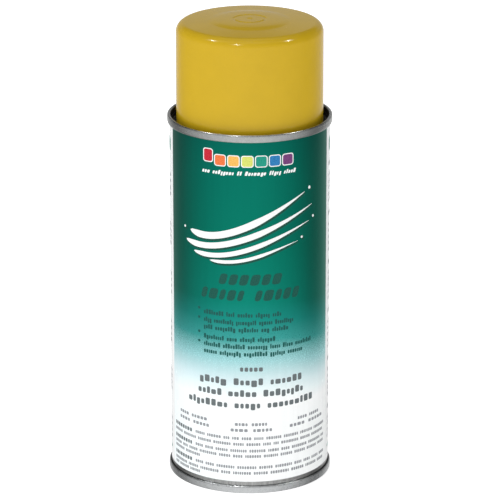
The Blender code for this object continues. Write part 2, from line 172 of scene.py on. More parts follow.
def object_from(name, work):
    """An object from a bmesh, whose faces are turned outward."""
    bmesh.ops.recalc_face_normals(work, faces=work.faces)
    mesh = bpy.data.meshes.new(name)
    work.to_mesh(mesh)
    work.free()
    return add_object(name, mesh)


def turned(name, outline, segments, shape=None):
    """A closed outline turned about the can's axis. shape may move each point, given in millimetres."""
    work = bmesh.new()
    rings = []
    for radius, height in outline:
        if radius == 0:
            rings.append([work.verts.new((0, 0, height * MM))])
            continue
        ring = []
        for i in range(segments):
            angle = math.tau * i / segments
            r, z = shape(radius, height, angle) if shape else (radius, height)
            ring.append(work.verts.new(Vector((r * math.cos(angle), r * math.sin(angle), z)) * MM))
        rings.append(ring)
    following = rings[1:] if is_open(outline) else rings[1:] + rings[:1]
    for one, other in zip(rings, following):
        for i in range(segments):
            j = (i + 1) % segments
            corners = [one[i % len(one)], one[j % len(one)], other[j % len(other)], other[i % len(other)]]
            work.faces.new(list(dict.fromkeys(corners)))
    return object_from(name, work)


def skin_over(work, rings):
    """Faces between rings of points that follow one another, and over the two end rings."""
    for one, other in zip(rings, rings[1:]):
        for i in range(len(one)):
            j = (i + 1) % len(one)
            work.faces.new((one[i], one[j], other[j], other[i]))
    work.faces.new(rings[0])
    work.faces.new(rings[-1])


def finish(piece, body, made_of, slot, *nodes, sharp=40.0):
    """Shades a piece, gives it its material and hangs it on its body in place of CAD nodes. Edges that
    bend by more than sharp degrees stay sharp."""
    piece.data.materials.append(made_of)
    piece.data.shade_smooth()
    piece.data.set_sharp_from_angle(angle=math.radians(sharp))
    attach(piece, body)
    if nodes:
        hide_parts(*nodes)
    return piece


def boolean(piece, other, operation):
    """Cuts or joins another solid, which is used up."""
    step = piece.modifiers.new(operation.lower(), "BOOLEAN")
    step.operation = operation
    step.solver = "EXACT"
    step.object = other
    bpy.context.view_layer.update()
    graph = bpy.context.evaluated_depsgraph_get()
    mesh = bpy.data.meshes.new_from_object(piece.evaluated_get(graph))
    piece.modifiers.clear()
    piece.data = mesh
    bpy.data.objects.remove(other)


# Materials -----------------------------------------------------------------------------------

def srgb(red, green, blue):
    """Linear colour from display values of 0 to 255."""
    def linear(value):
        share = value / 255
        return share / 12.92 if share <= 0.04045 else ((share + 0.055) / 1.055) ** 2.4
    return (linear(red), linear(green), linear(blue), 1.0)


class Nodes:
    """Adds nodes to a material's or a world's tree."""

    def __init__(self, tree):
        self.tree = tree

    def node(self, kind, inputs, **settings):
        made = self.tree.nodes.new("ShaderNode" + kind)
        for key, value in settings.items():
            setattr(made, key, value)
        for key, value in inputs.items():
            self.feed(made.inputs[key], value)
        return made

    def feed(self, socket, value):
        if isinstance(value, bpy.types.NodeSocket):
            self.tree.links.new(value, socket)
        else:
            socket.default_value = value

    def math(self, operation, *values):
        return self.node("Math", dict(enumerate(values)), operation=operation).outputs[0]

    def plus(self, one, other):
        return self.math("ADD", one, other)

    def times(self, one, other):
        return self.math("MULTIPLY", one, other)

    def parts(self, vector):
        return self.node("SeparateXYZ", {0: vector}).outputs

    def vector(self, *values):
        return self.node("CombineXYZ", dict(enumerate(values))).outputs[0]

    def between(self, value, low, high, new_low=0.0, new_high=1.0, soft=False):
        """Maps a value from low..high to new_low..new_high, clamped."""
        inputs = {0: value, 1: low, 2: high, 3: new_low, 4: new_high}
        kind = "SMOOTHSTEP" if soft else "LINEAR"
        return self.node("MapRange", inputs, interpolation_type=kind).outputs[0]

    def ramp(self, factor, stops):
        made = self.node("ValToRGB", {0: factor})
        elements = made.color_ramp.elements
        while len(elements) < len(stops):
            elements.new(0.5)
        for element, (position, colour) in zip(elements, stops):
            element.position = position
            element.color = colour
        return made.outputs[0]

    def mix(self, factor, first, second, blend="MIX"):
        inputs = {0: factor, 6: first, 7: second}
        return self.node("Mix", inputs, data_type="RGBA", blend_type=blend).outputs[2]


class Finish(Nodes):
    """A Principled material and the nodes that feed it. Texture places are in millimetres."""

    def __init__(self, name):
        self.material = bpy.data.materials.new(name)
        self.material.use_nodes = True
        super().__init__(self.material.node_tree)
        self.shader = self.tree.nodes["Principled BSDF"]
        place = self.node("TexCoord", {}).outputs["Object"]
        self.place = self.node("VectorMath", {0: place, "Scale": 1 / MM}, operation="SCALE").outputs[0]

    def set(self, **inputs):
        """Feeds the shader: set(base_color=..., coat_weight=...)."""
        for key, value in inputs.items():
            name = key.replace("_", " ").title().replace("Ior", "IOR")
            self.feed(self.shader.inputs[name], value)

    def noise(self, scale, detail=2.0, roughness=0.5, vector=None):
        inputs = {"Vector": vector or self.place, "Scale": scale, "Detail": detail, "Roughness": roughness}
        return self.node("TexNoise", inputs).outputs[0]

    def bump(self, height, distance, strength=1.0):
        inputs = {"Height": height, "Distance": distance * MM, "Strength": strength}
        return self.node("Bump", inputs).outputs[0]

    def unrolled(self):
        """The place on the wall laid out flat: arc from the front, and height."""
        x, y, z = self.parts(self.place)
        angle = self.math("ARCTAN2", x, self.times(y, -1.0))
        return self.times(angle, WALL), z


def shaded(colour, amount):
    """The colour made lighter (amount above 1) or darker (below 1)."""
    return (*(min(1.0, c * amount) for c in colour[:3]), 1.0)


# Sizes read from the frame -------------------------------------------------------------------

def wall_radius():
    """Outside radius of the can's wall: the largest radius of its long straight stretches."""
    points = outline_of("can_body")
    pairs = zip(points, points[1:] + points[:1])
    return max(a[0] for a, b in pairs if abs(a[1] - b[1]) > SEAMED_HEIGHT / 2)


SEAMED_HEIGHT = box("can_body")[1].z
WALL = wall_radius()
SEAM_LOW = min(z for r, z in outline_of("top_dome") if r > WALL + 0.5)
PANEL_ARC = WALL * math.radians(72.5)       # half the width of the green panel
PRINT_FOOT = 5.0                            # the white ink ends here, above the bottom seam
WELD_MARGIN = 3.0                           # bare metal each side of the weld
BACK = WALL * math.pi                       # arc from the front to the middle of the weld


# Heights up the green panel and the ink's display colour there, from white at the foot to green.
PANEL_FADE = (
    (41.0, (252, 254, 254)), (45.5, (236, 248, 249)), (50.0, (214, 234, 237)), (58.5, (160, 214, 216)),
    (67.5, (60, 164, 158)), (76.0, (24, 148, 136)), (85.0, (14, 142, 122)), (106.0, (8, 131, 110)),
    (137.0, (7, 125, 106)), (155.0, (6, 114, 98)),
)
FADE_LOW = 30.0
FADE_HIGH = 155.0


def panel_ink(made, along, fade_height):
    """The panel's fade up the can, tinted a little bluer on the left as painted light from that side."""
    span = FADE_HIGH - FADE_LOW
    stops = [((z - FADE_LOW) / span, srgb(*colour)) for z, colour in PANEL_FADE]
    fade = made.ramp(made.between(fade_height, FADE_LOW, FADE_HIGH), stops)
    # Painted light: a bluish tint on the left side for the bluish light falling from there.
    painted_blue_light = made.between(along, 10.0, -34.0, 0.0, 0.35, soft=True)
    return made.mix(painted_blue_light, fade, made.mix(1.0, fade, srgb(236, 250, 255), "MULTIPLY"))


def uneven_ink(made, printed, mottle, along, height):
    """The print, mottled and with faint streaks up the can."""
    streak = made.noise(0.5, 3.0, 0.6, made.vector(along, 0.0, made.times(height, 0.04)))
    shade = made.plus(made.between(mottle, 0.3, 0.7, 0.975, 1.0),
                      made.between(streak, 0.3, 0.7, -0.02, 0.02))
    return made.mix(1.0, printed, made.vector(shade, shade, shade), "MULTIPLY")


def wall_finish():
    """Lithographed tinplate: green fading to white on the front panel, white behind, bare at the weld
    and at the foot. Where the ink is a clear green, the metal glints through."""
    made = Finish("lithographed_tinplate")
    along, height = made.unrolled()
    aside = made.math("ABSOLUTE", along)
    grain = made.noise(0.9, 3.0, 0.6)
    fade_height = made.plus(height, made.between(grain, 0.3, 0.7, -0.25, 0.25))
    fade_height = made.plus(fade_height, made.between(along, 10.0, 36.0, 0.0, 3.2, soft=True))
    fade = panel_ink(made, along, fade_height)
    white = made.mix(made.between(grain, 0.35, 0.7), srgb(250, 251, 251), srgb(244, 246, 247))
    in_panel = made.between(aside, PANEL_ARC + 0.12, PANEL_ARC - 0.12)
    mottle = made.noise(2.6, 2.0, 0.6)
    printed = uneven_ink(made, made.mix(in_panel, white, fade), mottle, along, height)

    bare = made.math("MAXIMUM",
                     made.between(height, PRINT_FOOT + 0.1, PRINT_FOOT - 0.1),
                     made.between(aside, BACK - WELD_MARGIN - 0.1, BACK - WELD_MARGIN + 0.1))
    rolled = made.noise(1.4, 4.0, 0.65, made.vector(along, 0.0, made.times(height, 0.05)))
    metal = made.mix(made.between(rolled, 0.3, 0.7), srgb(150, 151, 150), srgb(186, 187, 186))
    scuffs = made.between(made.noise(0.35, 6.0, 0.75), 0.6, 0.72)
    rough = made.plus(made.between(mottle, 0.3, 0.7, 0.2, 0.27), made.times(scuffs, 0.12))
    clear_ink = made.times(in_panel, made.between(fade_height, 50.0, 84.0, 0.0, 0.9))
    made.set(
        base_color=made.mix(bare, printed, metal),
        metallic=made.math("MAXIMUM", bare, clear_ink),
        roughness=made.plus(rough, made.times(clear_ink, 0.12)),
        specular_ior_level=0.25,
        normal=made.bump(made.noise(0.55, 2.0, 0.5), 0.012, 0.6),
    )
    return made.material


def tinplate_finish(name, light, dark, roughness, shaded_band=None):
    """Bare tinplate, with the fine rings of the seaming rolls and press tools. Its last argument gives two
    radii between which the metal is painted darker: painted shade for the shadow in the countersink."""
    made = Finish(name)
    x, y, z = made.parts(made.place)
    radius = made.math("SQRT", made.plus(made.times(x, x), made.times(y, y)))
    angle = made.math("ARCTAN2", x, y)
    rings = made.vector(made.times(angle, 1.2), made.times(radius, 3.0), made.times(z, 3.0))
    drawn = made.noise(1.6, 4.0, 0.6, rings)
    spangle = made.noise(0.5, 3.0, 0.6)
    tone = made.plus(made.times(drawn, 0.6), made.times(spangle, 0.4))
    scratches = made.between(made.noise(2.2, 5.0, 0.8, rings), 0.6, 0.75)
    base = made.mix(made.between(tone, 0.35, 0.65), dark, light)
    # Painted shade: between the two radii the metal is painted nearly black for the shadow in the
    # countersink.
    if shaded_band:
        painted_shade = made.times(made.between(radius, shaded_band[0] - 0.8, shaded_band[0]),
                           made.between(radius, shaded_band[1], shaded_band[1] + 0.3, 1.0, 0.0))
        painted_shade = made.times(painted_shade, made.between(tone, 0.3, 0.7, 1.0, 0.85))
        base = made.mix(painted_shade, base, shaded(dark, 0.1))
    made.set(
        base_color=base,
        metallic=1.0,
        roughness=made.plus(made.between(tone, 0.3, 0.7, roughness - 0.05, roughness + 0.07),
                            made.times(scratches, 0.1)),
        normal=made.bump(drawn, 0.006, 0.4),
    )
    return made.material


def plastic_finish(name, colour, roughness, grain=0.02, softness=0.0, gloss=0.5, mottling=0.05):
    """Moulded plastic: faint flow marks, a fine moulded skin and light handling scuffs."""
    made = Finish(name)
    flow = made.noise(0.12, 3.0, 0.55)
    skin = made.noise(1.8, 3.0, 0.6)
    scuffs = made.between(made.noise(0.45, 6.0, 0.78), 0.62, 0.74)
    tone = made.plus(made.times(flow, 0.7), made.times(skin, 0.3))
    base = made.mix(made.between(tone, 0.32, 0.68),
                    shaded(colour, 1 - mottling), shaded(colour, 1 + mottling))
    base = made.mix(made.times(scuffs, 0.12), base, shaded(colour, 1.25))
    made.set(
        base_color=base,
        roughness=made.plus(made.between(skin, 0.3, 0.7, roughness - 0.03, roughness + 0.04),
                            made.times(scuffs, 0.15)),
        specular_ior_level=gloss,
        normal=made.bump(skin, grain, 0.5),
    )
    if softness:
        made.set(subsurface_weight=softness, subsurface_radius=(1.2 * MM, 0.9 * MM, 0.4 * MM),
                 subsurface_scale=1.0)
    return made.material


def rubber_finish(name, colour):
    """Matte rubber with fine specks."""
    made = Finish(name)
    speck = made.noise(3.0, 4.0, 0.7)
    made.set(
        base_color=made.mix(made.between(speck, 0.3, 0.7), shaded(colour, 0.8), shaded(colour, 1.25)),
        roughness=made.between(speck, 0.3, 0.7, 0.7, 0.85),
        normal=made.bump(speck, 0.03, 0.6),
    )
    return made.material


def glass_finish(name, colour):
    """Dark bottle glass of the mixing balls, dulled by tumbling."""
    made = Finish(name)
    pits = made.noise(1.4, 4.0, 0.7)
    made.set(
        base_color=made.mix(made.between(pits, 0.35, 0.65), shaded(colour, 0.8), shaded(colour, 1.15)),
        roughness=made.between(pits, 0.35, 0.7, 0.08, 0.3),
        coat_weight=0.5,
        normal=made.bump(pits, 0.02, 0.4),
    )
    return made.material


def ink_finish(name, colour, unevenness=0.05):
    """Varnished ink: slightly uneven in density, glossy like the panel round it."""
    made = Finish(name)
    density = made.noise(2.2, 3.0, 0.6)
    made.set(
        base_color=made.mix(made.between(density, 0.3, 0.7),
                            shaded(colour, 1 - unevenness), shaded(colour, 1 + unevenness)),
        roughness=made.between(density, 0.3, 0.7, 0.24, 0.32),
        specular_ior_level=0.25,
    )
    return made.material


# The can: wall and ends ----------------------------------------------------------------------

def can_wall(made_of):
    outline = rounded(outline_of("can_body"), reach=0.35)
    finish(turned("can_wall", outline, FINE), "can", made_of, "printed_tinplate", "can_body")


def weld_seam(made_of):
    """The wall's welded lap: a low bead up the back, with the weld's regular ripple."""
    half_width = 0.45
    rise = 0.075
    sunk = 0.02
    ripple = 0.012
    pitch = 0.9
    low = PRINT_FOOT - 1.2
    high = SEAM_LOW - 0.6
    section = [(-half_width, -sunk), (-half_width * 0.7, rise * 0.8), (0, rise),
               (half_width * 0.7, rise * 0.8), (half_width, -sunk)]
    steps = round((high - low) / (pitch / 3))
    work = bmesh.new()
    rings = []
    for i in range(steps + 1):
        height = low + (high - low) * i / steps
        swell = ripple * math.sin(math.tau * (height - low) / pitch)
        ring = []
        for across, up in section:
            reach = WALL + up + (swell if up > 0 else 0)
            ring.append(work.verts.new(Vector((-across, reach, height)) * MM))
        rings.append(ring)
    skin_over(work, rings)
    finish(object_from("weld_seam", work), "can", made_of, "bare_tinplate", sharp=50.0)


def can_ends(shaded_top_tin, lit_foot_tin, rubber):
    """The two pressed ends and the sealing compound in their double seams."""
    for name, node, made_of in (
            ("top_end", "top_dome", shaded_top_tin), ("bottom_end", "bottom_dome", lit_foot_tin)):
        outline = rounded(outline_of(node), reach=2.4, steps=5)
        finish(turned(name, outline, FINE), "can", made_of, "bare_tinplate", node)
    for name, node in (("top_seal", "top_seam_compound"), ("bottom_seal", "bottom_seam_compound")):
        outline = rounded(outline_of(node), reach=0.08, steps=2)
        finish(turned(name, outline, FINE), "can", rubber, "seaming_compound", node)


# The valve and the spray button --------------------------------------------------------------

def valve_cup(made_of):
    """The mounting cup, clinched under the dome's curl by eight collet fingers."""
    fingers = 8
    depth = 0.28
    clinch = box("mounting_cup")[0].z + 3.9
    clinch_reach = 1.9          # how far up and down from there the cup's wall is drawn in
    wall_inner, wall_outer = 12.0, 13.6
    gap_share = 0.1             # the gaps lie where the wave round the cup is this near its peaks

    def clinched(radius, height, angle):
        near = 1 - smooth_step(abs(height - clinch) / clinch_reach)
        in_wall = smooth_step((radius - wall_inner) / 0.6) * (1 - smooth_step((radius - wall_outer) / 0.4))
        gap = smooth_step((abs(math.cos(fingers / 2 * angle)) - (1 - gap_share)) / gap_share)
        return radius - depth * near * in_wall * gap, height

    outline = rounded(outline_of("mounting_cup"), reach=0.9)
    piece = turned("valve_cup", outline, FINE, clinched)
    finish(piece, "can", made_of, "cup_tinplate", "mounting_cup")


def valve_seals(made_of):
    """The gasket under the cup's curl and the washer round the stem."""
    for name, node, segments in (("cup_seal", "cup_gasket", FINE), ("stem_seal", "stem_gasket", SMALL)):
        outline = rounded(outline_of(node), reach=0.12, steps=2)
        finish(turned(name, outline, segments), "can", made_of, "gasket_rubber", node)


def housing(made_of):
    outline = rounded(outline_of("valve_housing"), reach=0.2, steps=3)
    finish(turned("housing", outline, MEDIUM), "can", made_of, "valve_plastic", "valve_housing")


def turned_forward(name, outline, segments, height):
    """A solid turned about an axis that runs forward at a height: the outline's heights lie towards -Y."""
    piece = turned(name, outline, segments)
    laid = Matrix.Translation((0, 0, height * MM)) @ Matrix.Rotation(math.pi / 2, 4, "X")
    piece.data.transform(laid)
    return piece


def stem(made_of):
    """The hollow stem, drilled through its wall under the gasket."""
    outline = rounded(outline_of("valve_stem"), reach=0.15, steps=3)
    piece = turned("stem_tube", outline, MEDIUM)
    orifice_height = box("valve_stem")[0].z + 4.75
    orifice = 0.35              # radius
    reach = 3.0                 # past the stem's wall
    drill = [(0, 0), (orifice, 0), (orifice, reach), (0, reach)]
    boolean(piece, turned_forward("orifice_drill", drill, 24, orifice_height), "DIFFERENCE")
    finish(piece, "stem", made_of, "valve_plastic", "valve_stem")


def spring(made_of):
    """The coil of round wire, built at rest; the real one is squeezed as the stem goes down."""
    low, high = box("valve_spring")
    wire = 0.3                  # radius
    middle = high.x - wire
    turns = 5
    steps_per_turn = 32
    sides = 10
    bottom = low.z + wire
    top = high.z - wire
    count = turns * steps_per_turn
    work = bmesh.new()
    rings = []
    for i in range(count + 1):
        angle = math.tau * i / steps_per_turn
        height = bottom + (top - bottom) * i / count
        centre = Vector((middle * math.cos(angle), middle * math.sin(angle), height))
        outward = Vector((math.cos(angle), math.sin(angle), 0))
        ring = []
        for k in range(sides):
            turn = math.tau * k / sides
            place = centre + outward * wire * math.cos(turn) + Vector((0, 0, wire * math.sin(turn)))
            ring.append(work.verts.new(place * MM))
        rings.append(ring)
    skin_over(work, rings)
    piece = object_from("spring_coil", work)
    finish(piece, "can", made_of, "spring_steel", "valve_spring", sharp=60.0)
    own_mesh(piece)


def button(made_of, insert_made_of):
    """The button with its front recess, and the insert pressed into it."""
    insert_low, insert_high = box("nozzle_insert")
    spray_height = (insert_low.z + insert_high.z) / 2
    back = -insert_high.y
    front = -insert_low.y
    radius = insert_high.x

    piece = button_body()
    outside = box("spray_button")[1].x + 1
    pocket = radius + 0.07
    duct = 0.5                  # radius of the channel from the stem
    recess = 3.1
    floor = front - 0.2
    bore = [(0, 0.2), (duct, 0.2), (duct, back - 0.1), (pocket, back - 0.1), (pocket, floor),
            (recess, floor), (recess, outside), (0, outside)]
    boolean(piece, turned_forward("front_bore", bore, SMALL, spray_height), "DIFFERENCE")
    finish(piece, "button", made_of, "button_plastic", "spray_button")

    orifice = 0.3
    swirl = 1.0                 # radius of the chamber at the insert's back
    cup = [
        (radius, back), (radius, front - 0.2), (radius - 0.2, front), (0.95, front),
        (orifice, front - 0.5), (orifice, back + 0.6), (swirl, back + 0.6), (swirl, back),
    ]
    insert = turned_forward("spray_insert", rounded(cup, reach=0.12, steps=2), SMALL, spray_height)
    finish(insert, "button", insert_made_of, "insert_plastic", "nozzle_insert")


def button_body():
    """The button without its recess, with low finger-grip rings in its dished top."""
    dish = 4.3                  # radius
    ring_gap = 0.95
    ring_rise = 0.1
    dish_low = box("spray_button")[1].z - 1.6

    def grip_rings(radius, height, angle):
        in_dish = smooth_step((height - dish_low) / 0.3) * (1 - smooth_step((radius - dish) / 0.4))
        return radius, height + ring_rise * in_dish * max(0.0, math.sin(math.tau * radius / ring_gap))

    outline = refined_dish(rounded(outline_of("spray_button"), reach=0.5), dish)
    return turned("button_cap", outline, MEDIUM, grip_rings)


def refined_dish(outline, dish):
    """The outline with more points where its top runs out from the axis past the dish's edge."""
    step = 0.12
    made = []
    for (r0, z0), (r1, z1) in zip(outline, outline[1:]):
        made.append((r0, z0))
        if r0 < r1 <= dish + 1 and z0 > outline[0][1] - 0.1:
            count = max(1, math.ceil((r1 - r0) / step))
            made += [(r0 + (r1 - r0) * i / count, z0 + (z1 - z0) * i / count) for i in range(1, count)]
    return made + [outline[-1]]


# The overcap and the mixing balls ------------------------------------------------------------

# How steeply the cap's top falls away, in degrees, at radii from the middle of its plateau to its brim.
CAP_SLOPES = (
    (0, 0), (5, 0.3), (8, 1.0), (12, 3.2), (15, 6.5), (16.2, 7.0), (17.2, 3.6), (18.2, 3.1), (26.4, 3.6),
)


def cap_slope(r):
    """The slope at any radius, eased between the listed ones."""
    for (r0, slope0), (r1, slope1) in zip(CAP_SLOPES, CAP_SLOPES[1:]):
        if r <= r1:
            return slope0 + (slope1 - slope0) * smooth_step((r - r0) / (r1 - r0))
    return CAP_SLOPES[-1][1]


CAP_BEND = 3.8              # radius of the shoulder between the brim and the skirt
SKIRT_DRAFT = 0.1           # how much narrower the skirt is at the top


def cap_face(top, radius):
    """The top's outline from the axis out to where the shoulder starts, with its ring and gate mark."""
    ring_radius, ring_width, ring_depth = 6.4, 0.75, 0.2
    gate_radius, gate_sunk = 1.1, 0.2
    last = radius - SKIRT_DRAFT - CAP_BEND * (1 - math.sin(math.radians(CAP_SLOPES[-1][1])))
    finest = 0.2
    count = round(last / finest)
    step = last / count
    height = top
    face = [(0.0, top - gate_sunk)]
    for i in range(1, count + 1):
        r = last * i / count
        height -= step * math.tan(math.radians(cap_slope(r - step / 2)))
        ring = ring_depth * (1 - smooth_step(abs(r - ring_radius) / ring_width))
        gate = gate_sunk * (1 - smooth_step((r - 0.4) / gate_radius))
        face.append((r, height - ring - gate))
    return face


def overcap(made_of):
    """The yellow cap: a domed plateau with a soft foot, a moulded ring and gate mark, and inside it the
    snap ring and six stiffening ribs."""
    low, high = box("overcap")
    cad = outline_of("overcap")
    lip = max(range(len(cad)), key=lambda i: (cad[i][0], -cad[i][1]))
    radius = cad[lip][0]
    roof = cad[-1][1]

    face = cap_face(high.z, radius)
    brim = face[-1][1]
    start = 90 - CAP_SLOPES[-1][1]
    centre = (radius - SKIRT_DRAFT - CAP_BEND, brim - CAP_BEND * math.sin(math.radians(start)))
    shoulder = arc(centre, CAP_BEND, start, 0, 14)[1:]
    edge = 0.35                 # radius of the skirt's lower edge
    skirt = [(radius - 0.03, low.z + 6), (radius, low.z + 0.5)]
    skirt += arc((radius - edge, low.z + edge), edge, 0, -90, 3)
    # The CAD's inside is rounded from a stand-in point on the axis, left out with the first curve's start.
    inside = rounded([(0.0, high.z)] + cad[lip + 1:], reach=0.6, steps=3)[2:]
    piece = turned("cap_shell", face + shoulder + skirt + inside, FINE)

    snap_ring_outer = max(r for r, z in cad if r < 20 and z < roof - 5)
    rib_count = 6
    rib_low = brim - 14.0
    rib_high = brim - 0.6       # in the plastic of the roof
    for i in range(rib_count):
        rib = cap_rib(f"rib_{i}", snap_ring_outer - 0.5, radius - 0.7, rib_low, rib_high)
        rib.data.transform(Matrix.Rotation(math.tau * (i + 0.5) / rib_count, 4, "Z"))
        boolean(piece, rib, "UNION")
    finish(piece, "cap", made_of, "overcap_plastic", "overcap", sharp=30.0)


def cap_rib(name, inner, outer, low, high):
    """A radial plate whose upper outer corner follows the cap's shoulder."""
    thickness = 0.9
    bend = CAP_BEND - 0.7
    corner = [(outer - 0.4, high - bend), (outer - bend, high)]
    section = [(inner, low), (outer, low), *corner, (inner, high)]
    work = bmesh.new()
    sides = []
    for across in (-thickness / 2, thickness / 2):
        sides.append([work.verts.new(Vector((r, across, z)) * MM) for r, z in section])
    skin_over(work, sides)
    return object_from(name, work)


def mixing_balls(made_of):
    """Pressed-glass balls, each with the faint parting line of its mould."""
    line_depth, line_width = 0.04, 0.5
    for letter in "ab":
        low, high = box(f"mixing_ball_{letter}")
        radius = (high.z - low.z) / 2
        outline = [(0.0, radius)]
        for r, z in arc((0, 0), radius, 86, -86, 44):
            outline.append((r - line_depth * (1 - smooth_step(abs(z) / line_width)), z))
        outline.append((0.0, -radius))
        piece = turned(f"glass_ball_{letter}", outline, SMALL)
        piece.data.transform(Matrix.Translation((low + high) / 2 * MM))
        finish(piece, f"ball_{letter}", made_of, "ball_glass", f"mixing_ball_{letter}")


# The label -----------------------------------------------------------------------------------
# A strip is a list of (upper, lower) pairs of points on the unrolled wall, and becomes one slab of ink.

def on_wall(point, raised):
    """A point of the unrolled wall, rolled up again and raised above the wall."""
    angle = point[0] / WALL
    reach = WALL + raised
    return Vector((reach * math.sin(angle), -reach * math.cos(angle), point[1])) * MM


def print_ink(name, strips, made_of, raised=INK_RAISED):
    """Closed slabs of one ink, all in one piece."""
    work = bmesh.new()
    for strip in strips:
        rings = []
        for upper, lower in strip:
            corners = ((upper, raised), (lower, raised), (lower, -INK_SUNK), (upper, -INK_SUNK))
            rings.append([work.verts.new(on_wall(point, reach)) for point, reach in corners])
        skin_over(work, rings)
    finish(object_from(name, work), "can", made_of, "printed_tinplate", sharp=30.0)


def block(left, right, low, high, corner, slant=0.0, steps=2):
    """A strip shaped as a block with rounded corners, leaning by slant times its height."""
    corner = min(corner, (right - left) / 2.01, (high - low) / 2.01)
    stations = []
    for i in range(steps + 1):
        angle = math.pi / 2 * i / steps
        stations.append((left + corner * (1 - math.cos(angle)), corner * (1 - math.sin(angle))))
    inner = right - left - 2 * corner
    for i in range(1, math.ceil(inner / INK_STEP)):
        stations.append((left + corner + inner * i / math.ceil(inner / INK_STEP), 0.0))
    for i in range(steps + 1):
        angle = math.pi / 2 * i / steps
        stations.append((right - corner * (1 - math.sin(angle)), corner * (1 - math.cos(angle))))
    strip = []
    for arc_place, cut in stations:
        up, down = high - cut, low + cut
        strip.append(((arc_place + slant * (up - low), up), (arc_place + slant * (down - low), down)))
    return strip


def dot(along, height, radius, steps=4):
    """A strip shaped as a round dot."""
    return block(along - radius, along + radius, height - radius, height + radius, radius, steps=steps)


def line_of_blocks(seed, left, right, base, height, slant=0.0, words=None, tall=0.3):
    """A line of small blocks in word-like groups, standing for print. It fills the line from left to
    right. words lists how many blocks each group has, and tall is the share of taller blocks."""
    rng = random.Random(seed)
    gap = height * 0.2
    space = height * 0.75
    places = []
    reach = 0.0
    group = 0
    while True:
        if words and group == len(words):
            break
        for _ in range(words[group] if words else rng.randint(3, 9)):
            width = height * rng.uniform(0.4, 0.72)
            places.append((reach, reach + width))
            reach += width + gap
        group += 1
        if not words and reach > right - left:
            break
        reach += space
    scale = (right - left) / places[-1][1]
    strips = []
    for start, end in places:
        extra = rng.random()
        high = base + height * (1.4 if extra < tall else 1.0)
        low = base - (height * 0.36 if tall and extra > 0.88 else 0.0)
        strips.append(block(left + start * scale, left + end * scale, low, high, height * 0.22, slant))
    return strips


def colour_row(outline_ink):
    """A row of paint colour chips, the first a larger one, each on a slightly larger white one."""
    chips = (
        ("red", (196, 28, 48)), ("orange", (236, 118, 62)), ("amber", (244, 186, 92)),
        ("yellow", (214, 220, 110)), ("teal", (24, 150, 128)), ("blue", (38, 122, 182)),
        ("plum", (116, 60, 118)),
    )
    first_left, left, right = -20.0, -14.9, 18.6
    low, high = 141.3, 146.3
    rim = 0.38
    gap = 0.5
    width = (right + gap - left) / (len(chips) - 1)
    backing = []
    for i, (name, colour) in enumerate(chips):
        span, foot, head = (left + (i - 1) * width, left + i * width - gap), low, high
        if i == 0:
            span, foot, head = (first_left, left - gap), low + 1.2, high + 2.0
        backing.append(block(*span, foot, head, corner=1.1, steps=4))
        inside = block(span[0] + rim, span[1] - rim, foot + rim, head - rim, corner=0.8, steps=4)
        ink = ink_finish(f"chip_{name}_ink", srgb(*colour), 0.12)
        print_ink(f"chip_{name}", [inside], ink, INK_RAISED + 0.012)
    print_ink("chip_rims", backing, outline_ink)


def sweep(start, way, end, back_way, broad, shift=(0.0, 0.0), extra=0.0):
    """A brush stroke along a curve that leaves start along way and reaches end along back_way. It swells
    to its full breadth and tapers to a point. shift moves it, and extra widens it each side."""
    points = [Vector(start), Vector(start) + Vector(way), Vector(end) - Vector(back_way), Vector(end)]
    count = math.ceil((points[3] - points[0]).length / 0.9)
    strip = []
    for i in range(count + 1):
        t = i / count
        spot = Vector((0.0, 0.0))
        for k, weight in enumerate(((1 - t) ** 3, 3 * t * (1 - t) ** 2, 3 * t * t * (1 - t), t ** 3)):
            spot += points[k] * weight
        heading = ((points[1] - points[0]) * (1 - t) ** 2 + (points[2] - points[1]) * 2 * t * (1 - t)
                   + (points[3] - points[2]) * t * t).normalized()
        normal = Vector((-heading.y, heading.x))
        half = broad / 2 * min(1.0, math.sqrt(9 * t) + 0.12, 2.2 * (1 - t) + 0.05) + extra
        spot += Vector(shift)
        strip.append((tuple(spot + normal * half), tuple(spot - normal * half)))
    return strip


def paint_sweeps(shift=(0.0, 0.0), extra=0.0):
    """Four brush sweeps that fan out up to the right, and the drops thrown off their ends."""
    strokes = (
        ((-27.0, 112.0), (16.0, -4.8), (24.5, 128.6), (16.0, 6.6), 2.9),
        ((-29.5, 107.4), (18.0, -4.4), (28.8, 122.6), (18.0, 5.2), 2.5),
        ((-25.0, 103.4), (18.0, -3.0), (27.0, 115.8), (17.0, 3.8), 2.0),
        ((-17.0, 100.8), (15.0, -1.2), (21.0, 108.4), (14.0, 2.8), 1.4),
    )
    strips = [sweep(*stroke, shift, extra) for stroke in strokes]
    drops = ((27.2, 129.9, 0.65), (23.0, 109.6, 0.5), (29.6, 117.2, 0.55), (-30.6, 112.6, 0.5))
    for along, height, size in drops:
        strips.append(dot(along + shift[0], height + shift[1], size + extra, steps=5))
    return strips


INKS = (
    ("white", (248, 249, 249), 0.02), ("shadow", (5, 78, 64), 0.08), ("forest", (8, 84, 72), 0.08),
    ("bottle", (14, 86, 80), 0.08), ("slate", (104, 112, 114), 0.08), ("grey", (146, 149, 153), 0.08),
    ("green", (10, 122, 104), 0.08),
)

# Lines of blocks on the front panel. Groups are how many blocks each word-like group of a line has.
DOTS = (79.2, 75.2, 69.0, 64.9)             # heights
# Height of the line's foot, right end
DOTTED_LINES = ((77.2, 13.2), (73.9, 18.8), (70.8, 16.4), (66.6, 10.6), (63.4, 28.5), (60.3, 23.5))
# Height of the line's foot, right end, groups
NAME_LINES = ((47.7, 23.2, (5, 5, 6)), (42.6, 24.0, (5, 5, 8)), (37.5, 29.6, (8, 5, 9)))
